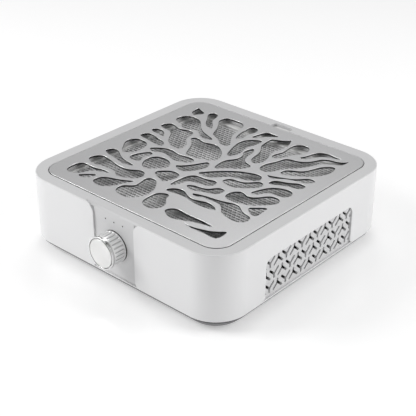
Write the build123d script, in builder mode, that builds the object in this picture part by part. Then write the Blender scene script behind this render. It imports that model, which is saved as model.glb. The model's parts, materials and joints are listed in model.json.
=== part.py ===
from build123d import *
import os
from math import cos, pi, radians, sin

# Nail dust collector: a square desktop box with a suction grille on top, a pleated filter under it,
# a centrifugal fan that blows out through both sides, and a speed knob on the front.
# Millimetres, +Z up, the front (knob side) faces -Y. The origin is the centre of the square body, on
# the plane that the rubber feet stand on.

os.makedirs("parts", exist_ok=True)

# ---------------------------------------------------------------- driving dimensions: the body
SIDE = 260.0  # both plan sides of the body
HEIGHT = 80.0  # feet to the top face
CORNER = 35.0  # plan radius of the body's corners
FIT = 0.1  # gap between covers that meet on one body

# outer shell
SHELL_WALL = 2.5
SHELL_FOOT = 11.2  # underside of the white shell
SHELL_RIM = 1.2  # width of the thin rim round the top face
REBATE = 2.6  # depth of the step that carries the top frame
SHELL_TOP_ROUND = 0.8
WINDOW_SILL = 12.3  # lower edge of every opening in the shell
FLARE = 4.0  # radius that widens each opening towards its sill
VENT_HALF = 67.0  # half length of a side vent opening
VENT_TOP = 55.0
VENT_CORNER = 8.0
NOTCH_HALF = 26.6  # half width of the front opening
NOTCH_CORNER = 10.0  # radius of the shell's top corners beside the front panel

# base tray
TRAY_FOOT = 1.2
TRAY_FLOOR = 3.4  # top of the tray's floor
TRAY_EDGE = 1.9  # how far the tray's widest line stands in from the shell
TRAY_SLOPE_IN = 7.0
TRAY_SLOPE_UP = 7.0
TRAY_TOP = 9.0  # top of the visible base, under the shadow gap
TRAY_RIM_TOP = 12.0
GAP_DEPTH = 3.0  # depth of the shadow gap between the tray and the shell
FOOT_PLACE = 90.0
FOOT_RADIUS = 9.0
FOOT_SINK = 0.8

# top frame
RING_EDGE = SHELL_RIM + FIT
RING_THICK = REBATE
BAY_EDGE = 116.0  # half width of the opening that takes the grille
BAY_CORNER = 18.0
LEDGE_INNER = 102.0
LEDGE_FOOT = 75.4
SKIRT_FOOT = 62.0
SKIRT_THICK = 2.0
SKIRT_OUT = SIDE / 2 - SHELL_WALL - FIT
PANEL_FACE = 128.4  # the front panel's face stands this far in front of the centre
PANEL_GAP = 0.4  # dark line round the front panel
PANEL_BEND = 3.0  # soft bend from the top ring down to the front panel
PULL_HALF = 12.5  # half width of the finger notch at the back of the ring
PULL_CORNER = 4.0
PULL_FAR = 123.8  # far edge of that notch
PULL_CHEEK = 2.0  # wall round the notch, under the ring
RING_SOFT = 1.2  # round of the ring's edge along the grille

# grille and filter
GRILLE_THICK = 2.0
GRILLE_GAP = 0.7
FILTER_HALF = 100.0
FILTER_FOOT = 50.0
FILTER_TOP = 74.0
FILTER_SIDE_BAR = 2.5
FILTER_END_BAR = 6.5
PLEATS = 49
PLEAT_LOW = 53.0
PLEAT_HIGH = 71.4
PAPER = 0.6
PULL_TAB = 1.2  # thickness of the cartridge's pull tab
PULL_PAD_FOOT = 117.0  # the tab ends in a raised pad from here to the notch's far edge
PULL_PAD_TOP = 77.2
BAY_WALL_IN = 101.0
BAY_WALL = 2.0
BAY_FOOT = 46.0
SEAL_HIGH = 2.0
MAGNET_RADIUS = 2.0
MAGNET_HIGH = 1.5

# fan
DECK_THICK = 2.0
DECK_HALF = 112.0
DECK_CORNER = 30.0
INLET_RADIUS = 58.0
BELL_RADIUS = 8.0
IMPELLER_RADIUS = 75.0
IMPELLER_FOOT = 10.0
BLADE_TOP = 36.0
BLADES = 11
BLADE_THICK = 1.6
SHAFT_RADIUS = 2.5
RUNNING = 0.03  # radial clearance of a shaft in its bearing
CAN_RADIUS = 31.2
CAN_WALL = 1.5
CAN_TOP = 37.0
MOUNT_FOOT = 5.0
MOUNT_TOP = 7.0
MOUNT_RADIUS = 36.0
TUBE_RADIUS = 7.0
BEARING_RADIUS = 5.5
BEARING_LENGTH = 4.0
BEARING_FEET = (MOUNT_TOP + 1.0, 29.2)
ROTOR_FOOT = 13.0
STATOR_FOOT = 16.0
STATOR_HIGH = 14.0
POLES = 9
COIL_OVERHANG = 1.6  # the windings stand out above and below the core

# knob
KNOB_Z = 45.0
KNOB_RADIUS = 15.8
KNOB_RING_RADIUS = 16.6
KNOB_FACE = 146.5
KNOB_BACK = 129.3
WASHER_THICK = 0.8
FLUTES = 24
POINTER_ANGLE = 59.0  # from +X towards +Z, as the knob is left at rest
POT_SHAFT_RADIUS = 3.0
POT_BUSH_RADIUS = 4.5
POT_SHAFT_END = KNOB_FACE - 4.5
CAP_BACK = KNOB_FACE - 1.9  # the spun cap and the polished ring sit on the body here
SKIRT_FRONT = KNOB_FACE - 2.9  # front end of the knob's fluted skirt

# control board, indicators, inlet
BOARD_FACE = 114.4
BOARD_THICK = 1.6
LIGHT_PITCH = 11.2
LIGHT_Z = 70.0
LIGHT_RADIUS = 0.8
LED_HIGH = 1.2
INLET_X = -70.0
INLET_Z = 24.0
INLET_BARREL = 5.4
INLET_BACK = 112.0
INLET_BODY = 8.0  # length of the inlet's square body

POWER_LEAD_X = -104.0
POWER_LEAD_RADIUS = 1.6
MOTOR_LEAD_X = 8.0
MOTOR_LEAD_RADIUS = 1.3

# screws and the bosses that take them
SCREW_HEAD = 1.6
SCREW_CORE = 1.2
M3_CORE = 1.4
CORNER_BOSS = 110.0
CORNER_BOSS_FOOT = TRAY_FLOOR + 3.8  # the tray's bosses end and the frame's bosses begin here
DECK_BOSS_X = 109.0
DECK_BOSS_Y = 80.0
EAR_X = 108.5
EAR_Y = 50.0


def on_circle(radius, count, start=0.0):
    """Evenly spaced points round the centre, the first at that angle."""
    turns = [radians(start + 360.0 * k / count) for k in range(count)]
    return [(radius * cos(turn), radius * sin(turn)) for turn in turns]


FOUR_FEET = [(x, y) for x in (-FOOT_PLACE, FOOT_PLACE) for y in (-FOOT_PLACE, FOOT_PLACE)]
FOUR_CORNERS = [(x, y) for x in (-CORNER_BOSS, CORNER_BOSS) for y in (-CORNER_BOSS, CORNER_BOSS)]
FOUR_DECK = [(x, y) for x in (-DECK_BOSS_X, DECK_BOSS_X) for y in (-DECK_BOSS_Y, DECK_BOSS_Y)]
BAY_EARS = [(x, y) for x in (-EAR_X, EAR_X) for y in (-EAR_Y, EAR_Y)]
MAGNETS = [(x, y) for x in (-113, 113) for y in (-80, 80)]
BOARD_HOLES = [(x, z) for x in (-22, 22) for z in (28, 62)]
MOTOR_HOLES = on_circle(32, 3, 90)
ROTOR_HOLES = on_circle(14, 3)
FRONT = Plane.XZ  # local x is +X, local y is +Z, and its normal is -Y
ACROSS = Plane.YZ  # local x is +Y, local y is +Z, and its normal is +X


def square(half, corner, mode=Mode.ADD):
    """A centred rounded square, as every plan outline of the body is."""
    RectangleRounded(2 * half, 2 * half, corner, mode=mode)


def square_ring(outer, outer_corner, inner, inner_corner):
    """The band between two centred rounded squares."""
    square(outer, outer_corner)
    square(inner, inner_corner, Mode.SUBTRACT)


def plan_corner(half):
    """The corner radius of an outline that runs parallel to the body's side."""
    return CORNER - (SIDE / 2 - half)


def flared_sill(half, sill):
    """Widens an opening at its sill: its lower corners sweep outwards."""
    with Locations((0, sill + FLARE / 2)):
        Rectangle(2 * (half + FLARE), FLARE)
    with Locations((-half - FLARE, sill + FLARE), (half + FLARE, sill + FLARE)):
        Circle(FLARE, mode=Mode.SUBTRACT)


def screws(plane, level, places, head, core, length, way=1):
    """Screws with their heads behind a level and their threads through it; way is -1 to point back."""
    for start, radius, reach in ((level - way * SCREW_HEAD, head, SCREW_HEAD), (level, core, length)):
        with BuildSketch(plane.offset(start)) as discs:
            with Locations(*places):
                Circle(radius)
        extrude(discs.sketch, amount=way * reach)


# ---------------------------------------------------------------- outer shell
with BuildPart() as outer_shell:
    with BuildSketch(Plane.XY.offset(SHELL_FOOT)):
        inner = SIDE / 2 - SHELL_WALL
        square_ring(SIDE / 2, CORNER, inner, plan_corner(inner))
    extrude(amount=HEIGHT - SHELL_FOOT)
    with BuildSketch(Plane.XY.offset(HEIGHT)):
        square(SIDE / 2 - SHELL_RIM, plan_corner(SIDE / 2 - SHELL_RIM))
    extrude(amount=-REBATE, mode=Mode.SUBTRACT)
    top_outline = outer_shell.faces().sort_by(Axis.Z)[-1].outer_wire()
    fillet(top_outline.edges(), SHELL_TOP_ROUND)
    with BuildSketch(FRONT.offset(SIDE / 2 + 5)):
        with Locations((0, (WINDOW_SILL + HEIGHT) / 2 + 5)):
            Rectangle(2 * NOTCH_HALF, HEIGHT - WINDOW_SILL + 10)
        with Locations((0, HEIGHT - NOTCH_CORNER / 2 + 1)):
            Rectangle(2 * (NOTCH_HALF + NOTCH_CORNER), NOTCH_CORNER + 2)
        for way in (-1, 1):
            with Locations((way * (NOTCH_HALF + NOTCH_CORNER), HEIGHT - NOTCH_CORNER)):
                Circle(NOTCH_CORNER, mode=Mode.SUBTRACT)
        flared_sill(NOTCH_HALF, WINDOW_SILL)
    extrude(amount=-20, mode=Mode.SUBTRACT)
    with BuildSketch(ACROSS):
        with Locations((0, (WINDOW_SILL + VENT_TOP) / 2)):
            Rectangle(2 * VENT_HALF, VENT_TOP - WINDOW_SILL)
        fillet(vertices().group_by(Axis.Y)[-1], VENT_CORNER)
        flared_sill(VENT_HALF, WINDOW_SILL)
    extrude(amount=SIDE, both=True, mode=Mode.SUBTRACT)
    with BuildSketch(FRONT.offset(-SIDE / 2 - 5)):
        with Locations((INLET_X, INLET_Z)):
            Circle(INLET_BARREL + 0.2)
    extrude(amount=15, mode=Mode.SUBTRACT)
outer_shell.part.label = "outer_shell"
export_step(outer_shell.part, "parts/outer_shell.step")

# ---------------------------------------------------------------- base tray, with its sloping underside
with BuildPart() as base_tray:
    with BuildSketch(Plane.XY.offset(TRAY_FOOT)):
        square(SIDE / 2 - TRAY_EDGE, plan_corner(SIDE / 2 - TRAY_EDGE))
    extrude(amount=TRAY_TOP - TRAY_FOOT)
    underside = base_tray.faces().sort_by(Axis.Z)[0]
    chamfer(underside.edges(), length=TRAY_SLOPE_UP, length2=TRAY_SLOPE_IN, reference=underside)
    with BuildSketch(Plane.XY.offset(TRAY_TOP)):
        square(SIDE / 2 - GAP_DEPTH, plan_corner(SIDE / 2 - GAP_DEPTH))
    extrude(amount=SHELL_FOOT - TRAY_TOP)
    with BuildSketch(Plane.XY.offset(SHELL_FOOT)):
        square(SIDE / 2 - SHELL_WALL - 0.15, plan_corner(SIDE / 2 - SHELL_WALL - 0.15))
    extrude(amount=TRAY_RIM_TOP - SHELL_FOOT)
    with BuildSketch(Plane.XY.offset(TRAY_TOP - 1)):
        square(SIDE / 2 - 4.4, plan_corner(SIDE / 2 - 4.4))
    extrude(amount=TRAY_RIM_TOP, mode=Mode.SUBTRACT)
    with BuildSketch(Plane.XY.offset(TRAY_FLOOR)):
        square(SIDE / 2 - 8.4, plan_corner(SIDE / 2 - 8.4))
    extrude(amount=TRAY_TOP, mode=Mode.SUBTRACT)
    with BuildSketch(Plane.XY.offset(TRAY_FLOOR)):
        Circle(MOUNT_RADIUS + 1)
    extrude(amount=MOUNT_FOOT - TRAY_FLOOR)
    with BuildSketch(Plane.XY.offset(TRAY_FLOOR)):
        with Locations(*FOUR_CORNERS):
            Circle(5.0)
    extrude(amount=CORNER_BOSS_FOOT - TRAY_FLOOR)
    with BuildSketch(Plane.XY.offset(TRAY_FLOOR)):
        with Locations((INLET_X, INLET_BACK + 3)):
            Rectangle(14, 6)
    extrude(amount=INLET_Z - 6 - TRAY_FLOOR)
    with BuildSketch(Plane.XY.offset(TRAY_FOOT)):
        with Locations(*FOUR_FEET):
            Circle(FOOT_RADIUS)
    extrude(amount=FOOT_SINK, mode=Mode.SUBTRACT)
    with Locations(*[Plane(origin=(x, y, TRAY_FOOT), z_dir=(0, 0, -1)) for x, y in FOUR_CORNERS]):
        CounterBoreHole(radius=1.7, counter_bore_radius=3.2, counter_bore_depth=3.0)
    with BuildSketch(Plane.XY.offset(MOUNT_FOOT)):
        with Locations(*MOTOR_HOLES):
            Circle(M3_CORE)
    extrude(amount=-3.2, mode=Mode.SUBTRACT)
base_tray.part.label = "base_tray"
export_step(base_tray.part, "parts/base_tray.step")

with BuildPart() as rubber_feet:
    with BuildSketch():
        with Locations(*FOUR_FEET):
            Circle(FOOT_RADIUS)
    extrude(amount=TRAY_FOOT + FOOT_SINK)
    chamfer(rubber_feet.edges().group_by(Axis.Z)[0], 0.6)
rubber_feet.part.label = "rubber_feet"
export_step(rubber_feet.part, "parts/rubber_feet.step")

with BuildPart() as base_screws:
    with BuildSketch(Plane.XY.offset(TRAY_FOOT + 0.8)):
        with Locations(*FOUR_CORNERS):
            Circle(2.9)
    extrude(amount=2.2)
    with BuildSketch(Plane.XY.offset(TRAY_FOOT + 3.0)):
        with Locations(*FOUR_CORNERS):
            Circle(1.5)
    extrude(amount=16)
    with BuildSketch(Plane.XY.offset(TRAY_FOOT + 0.8)):
        with Locations(*FOUR_CORNERS):
            Rectangle(3.2, 0.8)
            Rectangle(0.8, 3.2)
    extrude(amount=1.0, mode=Mode.SUBTRACT)
base_screws.part.label = "base_screws"
export_step(base_screws.part, "parts/base_screws.step")

# ---------------------------------------------------------------- top frame with the front panel
with BuildPart() as top_frame:
    with BuildSketch(Plane.XY.offset(HEIGHT - RING_THICK)):
        outer = SIDE / 2 - RING_EDGE
        square_ring(outer, plan_corner(outer), BAY_EDGE, BAY_CORNER)
    extrude(amount=RING_THICK)
    ring_face = top_frame.faces().sort_by(Axis.Z)[-1]
    fillet(ring_face.inner_wires()[0].edges(), RING_SOFT)
    with BuildSketch(Plane.XY.offset(LEDGE_FOOT)):
        square_ring(BAY_EDGE + 2, BAY_CORNER + 2, LEDGE_INNER, BAY_CORNER - 10)
    extrude(amount=HEIGHT - GRILLE_THICK - LEDGE_FOOT)
    with BuildSketch(Plane.XY.offset(SKIRT_FOOT)):
        inner = SKIRT_OUT - SKIRT_THICK
        square_ring(SKIRT_OUT, plan_corner(SKIRT_OUT), inner, plan_corner(inner))
    extrude(amount=HEIGHT - RING_THICK - SKIRT_FOOT)
    # the front panel hangs from the ring, with a flange behind the shell on each side
    panel_back = SKIRT_OUT - SKIRT_THICK
    with BuildSketch(FRONT.offset(panel_back)):
        with Locations((0, (WINDOW_SILL + HEIGHT - RING_THICK) / 2)):
            Rectangle(2 * (NOTCH_HALF + 7.4), HEIGHT - RING_THICK - WINDOW_SILL)
    extrude(amount=SKIRT_THICK)
    with BuildSketch(FRONT.offset(panel_back)):
        with Locations((0, (WINDOW_SILL + PANEL_GAP + HEIGHT) / 2)):
            Rectangle(2 * (NOTCH_HALF - PANEL_GAP), HEIGHT - WINDOW_SILL - PANEL_GAP)
    extrude(amount=PANEL_FACE - panel_back)
    with BuildSketch(FRONT.offset(SIDE / 2)):
        with Locations((0, HEIGHT)):
            Rectangle(2 * (NOTCH_HALF + NOTCH_CORNER + 0.2), 2 * RING_THICK)
    extrude(amount=-(SIDE / 2 - PANEL_FACE), mode=Mode.SUBTRACT)
    with BuildSketch(ACROSS):
        with Locations((-PANEL_FACE + PANEL_BEND / 2, HEIGHT - PANEL_BEND / 2)):
            Rectangle(PANEL_BEND, PANEL_BEND)
        with Locations((-PANEL_FACE + PANEL_BEND, HEIGHT - PANEL_BEND)):
            Circle(PANEL_BEND, mode=Mode.SUBTRACT)
    extrude(amount=NOTCH_HALF + NOTCH_CORNER + 0.2, both=True, mode=Mode.SUBTRACT)
    # cheeks and finger notch at the back, over the filter's pull tab
    with BuildSketch(Plane.XY.offset(FILTER_TOP)):
        with Locations((0, (LEDGE_INNER + 3 + panel_back) / 2)):
            Rectangle(2 * (PULL_HALF + PULL_CHEEK), panel_back - LEDGE_INNER - 3)
    extrude(amount=HEIGHT - RING_THICK - FILTER_TOP)
    with BuildSketch(Plane.XY.offset(FILTER_TOP)):
        with Locations((0, (LEDGE_INNER + PULL_FAR) / 2)):
            Rectangle(2 * PULL_HALF, PULL_FAR - LEDGE_INNER)
        fillet(vertices().group_by(Axis.Y)[-1], PULL_CORNER)
    extrude(amount=10, mode=Mode.SUBTRACT)
    # screw bosses, board standoffs and the knob's and the lights' holes
    with BuildSketch(Plane.XY.offset(CORNER_BOSS_FOOT)):
        with Locations(*FOUR_CORNERS):
            Circle(4.5)
    extrude(amount=HEIGHT - RING_THICK - CORNER_BOSS_FOOT)
    with BuildSketch(Plane.XY.offset(BAY_FOOT)):
        with Locations(*FOUR_DECK):
            Circle(3.5)
    extrude(amount=LEDGE_FOOT - BAY_FOOT)
    with BuildSketch(Plane.XY.offset(CORNER_BOSS_FOOT)):
        with Locations(*FOUR_CORNERS):
            Circle(1.5)
    extrude(amount=14, mode=Mode.SUBTRACT)
    with BuildSketch(Plane.XY.offset(BAY_FOOT)):
        with Locations(*FOUR_DECK):
            Circle(SCREW_CORE)
    extrude(amount=10, mode=Mode.SUBTRACT)
    with BuildSketch(FRONT.offset(BOARD_FACE)):
        with Locations(*BOARD_HOLES):
            Circle(3.0)
    extrude(amount=panel_back - BOARD_FACE)
    with BuildSketch(FRONT.offset(BOARD_FACE)):
        with Locations(*BOARD_HOLES):
            Circle(SCREW_CORE)
    extrude(amount=7, mode=Mode.SUBTRACT)
    with BuildSketch(FRONT.offset(BOARD_FACE)):
        with Locations((0, KNOB_Z)):
            Circle(POT_BUSH_RADIUS + 0.1)
        with GridLocations(LIGHT_PITCH, 1, 3, 1):
            with Locations((0, LIGHT_Z)):
                Circle(LIGHT_RADIUS + 0.05)
    extrude(amount=PANEL_FACE - BOARD_FACE, mode=Mode.SUBTRACT)
    with BuildSketch(Plane.XY.offset(HEIGHT - GRILLE_THICK)):
        with Locations(*MAGNETS):
            Circle(MAGNET_RADIUS + 0.2)
    extrude(amount=-MAGNET_HIGH - 0.3, mode=Mode.SUBTRACT)
top_frame.part.label = "top_frame"
export_step(top_frame.part, "parts/top_frame.step")

# ---------------------------------------------------------------- control panel: knob, board and lights
with BuildPart() as pot_body:
    with BuildSketch(FRONT.offset(BOARD_FACE)):
        with Locations((0, KNOB_Z)):
            RectangleRounded(17, 17, 1.5)
    extrude(amount=SKIRT_OUT - SKIRT_THICK - BOARD_FACE)
    with BuildSketch(FRONT.offset(SKIRT_OUT - SKIRT_THICK)):
        with Locations((0, KNOB_Z)):
            Circle(POT_BUSH_RADIUS)
    extrude(amount=7.6)
    with BuildSketch(FRONT.offset(BOARD_FACE + 2)):
        with Locations((0, KNOB_Z)):
            Circle(POT_SHAFT_RADIUS + RUNNING)
    extrude(amount=30, mode=Mode.SUBTRACT)
pot_body.part.label = "pot_body"
export_step(pot_body.part, "parts/pot_body.step")

with BuildPart() as knob_washer:
    with BuildSketch(FRONT.offset(PANEL_FACE)):
        with Locations((0, KNOB_Z)):
            Circle(KNOB_RADIUS + 0.2)
            Circle(POT_BUSH_RADIUS + 0.1, mode=Mode.SUBTRACT)
    extrude(amount=WASHER_THICK)
knob_washer.part.label = "knob_washer"
export_step(knob_washer.part, "parts/knob_washer.step")

with BuildPart() as pot_nut:
    with BuildSketch(FRONT.offset(PANEL_FACE + WASHER_THICK)):
        with Locations((0, KNOB_Z)):
            RegularPolygon(7.2, 6)
            Circle(POT_BUSH_RADIUS, mode=Mode.SUBTRACT)
    extrude(amount=2.2)
    chamfer(pot_nut.edges().group_by(Axis.Y)[0].filter_by(GeomType.LINE), 0.4)
pot_nut.part.label = "pot_nut"
export_step(pot_nut.part, "parts/pot_nut.step")

with BuildPart() as pot_shaft:
    with BuildSketch(FRONT.offset(BOARD_FACE + 2.3)):
        with Locations((0, KNOB_Z)):
            Circle(POT_SHAFT_RADIUS)
    extrude(amount=POT_SHAFT_END - BOARD_FACE - 2.3)
    chamfer(pot_shaft.edges().group_by(Axis.Y)[0], 0.5)
pot_shaft.part.label = "pot_shaft"
export_step(pot_shaft.part, "parts/pot_shaft.step")

# the knob: a fluted skirt, a groove, a polished front ring with a pointer mark, and a spun face
with BuildPart() as knob_body:
    with BuildSketch(FRONT.offset(KNOB_BACK)):
        with Locations((0, KNOB_Z)):
            Circle(KNOB_RADIUS)
    extrude(amount=SKIRT_FRONT - KNOB_BACK)
    with BuildSketch(FRONT.offset(KNOB_BACK + 1.4)):
        with Locations((0, KNOB_Z)):
            with PolarLocations(KNOB_RADIUS + 1.1, FLUTES):
                Circle(1.75)
    extrude(amount=SKIRT_FRONT - 1.4 - KNOB_BACK - 1.4, mode=Mode.SUBTRACT)
    with BuildSketch(FRONT.offset(KNOB_BACK)):
        with Locations((0, KNOB_Z)):
            Circle(12.4)
            Circle(6.2, mode=Mode.SUBTRACT)
    extrude(amount=10, mode=Mode.SUBTRACT)
    with BuildSketch(FRONT.offset(KNOB_BACK)):
        with Locations((0, KNOB_Z)):
            Circle(9.0)
    extrude(amount=4.2, mode=Mode.SUBTRACT)
    with BuildSketch(FRONT.offset(KNOB_BACK)):
        with Locations((0, KNOB_Z)):
            Circle(POT_SHAFT_RADIUS)
    extrude(amount=POT_SHAFT_END - KNOB_BACK, mode=Mode.SUBTRACT)
    with BuildSketch(FRONT.offset(SKIRT_FRONT)):
        with Locations((0, KNOB_Z)):
            Circle(KNOB_RADIUS - 0.7)
    extrude(amount=CAP_BACK - SKIRT_FRONT)
knob_body.part.label = "knob_body"
export_step(knob_body.part, "parts/knob_body.step")

with BuildPart() as knob_ring:
    with BuildSketch(FRONT.offset(CAP_BACK)):
        with Locations((0, KNOB_Z)):
            Circle(KNOB_RING_RADIUS)
            Circle(KNOB_RING_RADIUS - 1.5, mode=Mode.SUBTRACT)
    extrude(amount=KNOB_FACE - CAP_BACK)
    fillet(knob_ring.edges().group_by(Axis.Y)[0], 0.45)
    with BuildSketch(FRONT.offset(KNOB_FACE - 0.9)):
        with Locations((0, KNOB_Z)):
            with PolarLocations(KNOB_RING_RADIUS - 0.7, 1, start_angle=POINTER_ANGLE):
                Rectangle(3.2, 1.5)
    extrude(amount=2, mode=Mode.SUBTRACT)
knob_ring.part.label = "knob_ring"
export_step(knob_ring.part, "parts/knob_ring.step")

with BuildPart() as knob_pointer:
    with BuildSketch(FRONT.offset(KNOB_FACE - 0.9)):
        with Locations((0, KNOB_Z)):
            with PolarLocations(KNOB_RING_RADIUS - 0.75, 1, start_angle=POINTER_ANGLE):
                Rectangle(1.3, 1.5)
    extrude(amount=0.7)
knob_pointer.part.label = "knob_pointer"
export_step(knob_pointer.part, "parts/knob_pointer.step")

with BuildPart() as knob_cap:
    with BuildSketch(FRONT.offset(CAP_BACK)):
        with Locations((0, KNOB_Z)):
            Circle(KNOB_RING_RADIUS - 2.1)
    extrude(amount=KNOB_FACE - CAP_BACK + 0.2)
    fillet(knob_cap.edges().group_by(Axis.Y)[0], 0.6)
knob_cap.part.label = "knob_cap"
export_step(knob_cap.part, "parts/knob_cap.step")

with BuildPart() as control_board:
    with BuildSketch(FRONT.offset(BOARD_FACE - BOARD_THICK)):
        with Locations((0, 48)):
            RectangleRounded(54, 50, 2)
        with Locations(*BOARD_HOLES):
            Circle(SCREW_CORE + 0.1, mode=Mode.SUBTRACT)
    extrude(amount=BOARD_THICK)
control_board.part.label = "control_board"
export_step(control_board.part, "parts/control_board.step")

with BuildPart() as board_screws:
    screws(FRONT, BOARD_FACE - BOARD_THICK, BOARD_HOLES, 2.4, SCREW_CORE, 8.0)
board_screws.part.label = "board_screws"
export_step(board_screws.part, "parts/board_screws.step")

with BuildPart() as led_chips:
    with BuildSketch(FRONT.offset(BOARD_FACE)):
        with GridLocations(LIGHT_PITCH, 1, 3, 1):
            with Locations((0, LIGHT_Z)):
                Rectangle(3.0, 2.0)
    extrude(amount=LED_HIGH)
led_chips.part.label = "led_chips"
export_step(led_chips.part, "parts/led_chips.step")

with BuildPart() as indicator_lights:
    with BuildSketch(FRONT.offset(BOARD_FACE + LED_HIGH)):
        with GridLocations(LIGHT_PITCH, 1, 3, 1):
            with Locations((0, LIGHT_Z)):
                Circle(LIGHT_RADIUS)
    extrude(amount=PANEL_FACE - BOARD_FACE - LED_HIGH - 0.2)
indicator_lights.part.label = "indicator_lights"
export_step(indicator_lights.part, "parts/indicator_lights.step")

# ---------------------------------------------------------------- side vents
VENT_PANEL_HALF = 79.0
VENT_PITCH = 11.85  # from one branch to the next, which stands the other way up
VENT_ROWS = ((0, 21.4), (6.2, 34.7), (0, 48.0))  # shift along the row, height of its middle
BRANCH_WIDE = 2.5


def branch(y, z, up):
    """One three-armed slot: two arms rise from its middle and a stem drops from it."""
    for end_y, end_z in ((-5.7, 4.3 * up), (5.7, 4.3 * up), (0, -4.3 * up)):
        start = Vector(y, z - 1.0 * up)
        end = Vector(y + end_y, z + end_z)
        SlotCenterPoint(center=(start + end) * 0.5, point=end, height=BRANCH_WIDE)


with BuildPart() as side_vents:
    for way in (-1, 1):
        with BuildSketch(ACROSS.offset(way * SKIRT_OUT)):
            with Locations((0, (TRAY_RIM_TOP + SKIRT_FOOT - 1) / 2)):
                Rectangle(2 * VENT_PANEL_HALF, SKIRT_FOOT - 1 - TRAY_RIM_TOP)
        extrude(amount=-way * SKIRT_THICK)
        # its middle stands forward into the shell's opening, with a thin gap all round
        with BuildSketch(ACROSS.offset(way * SKIRT_OUT)):
            with Locations((0, (WINDOW_SILL + VENT_TOP) / 2)):
                Rectangle(2 * (VENT_HALF - PANEL_GAP), VENT_TOP - WINDOW_SILL - 2 * PANEL_GAP)
            fillet(vertices().group_by(Axis.Y)[-1], VENT_CORNER - PANEL_GAP)
        extrude(amount=way * (PANEL_FACE - SKIRT_OUT))
    with BuildSketch(ACROSS):
        for shift, middle in VENT_ROWS:
            for k in range(-6, 7):
                y = shift + k * VENT_PITCH
                if abs(y) < VENT_PANEL_HALF - 7:
                    branch(y, middle, 1 if k % 2 else -1)
    extrude(amount=SIDE, both=True, mode=Mode.SUBTRACT)
for name, panel in zip(("side_vent_left", "side_vent_right"), side_vents.solids().sort_by(Axis.X)):
    panel.label = name
    export_step(panel, "parts/" + name + ".step")

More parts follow.
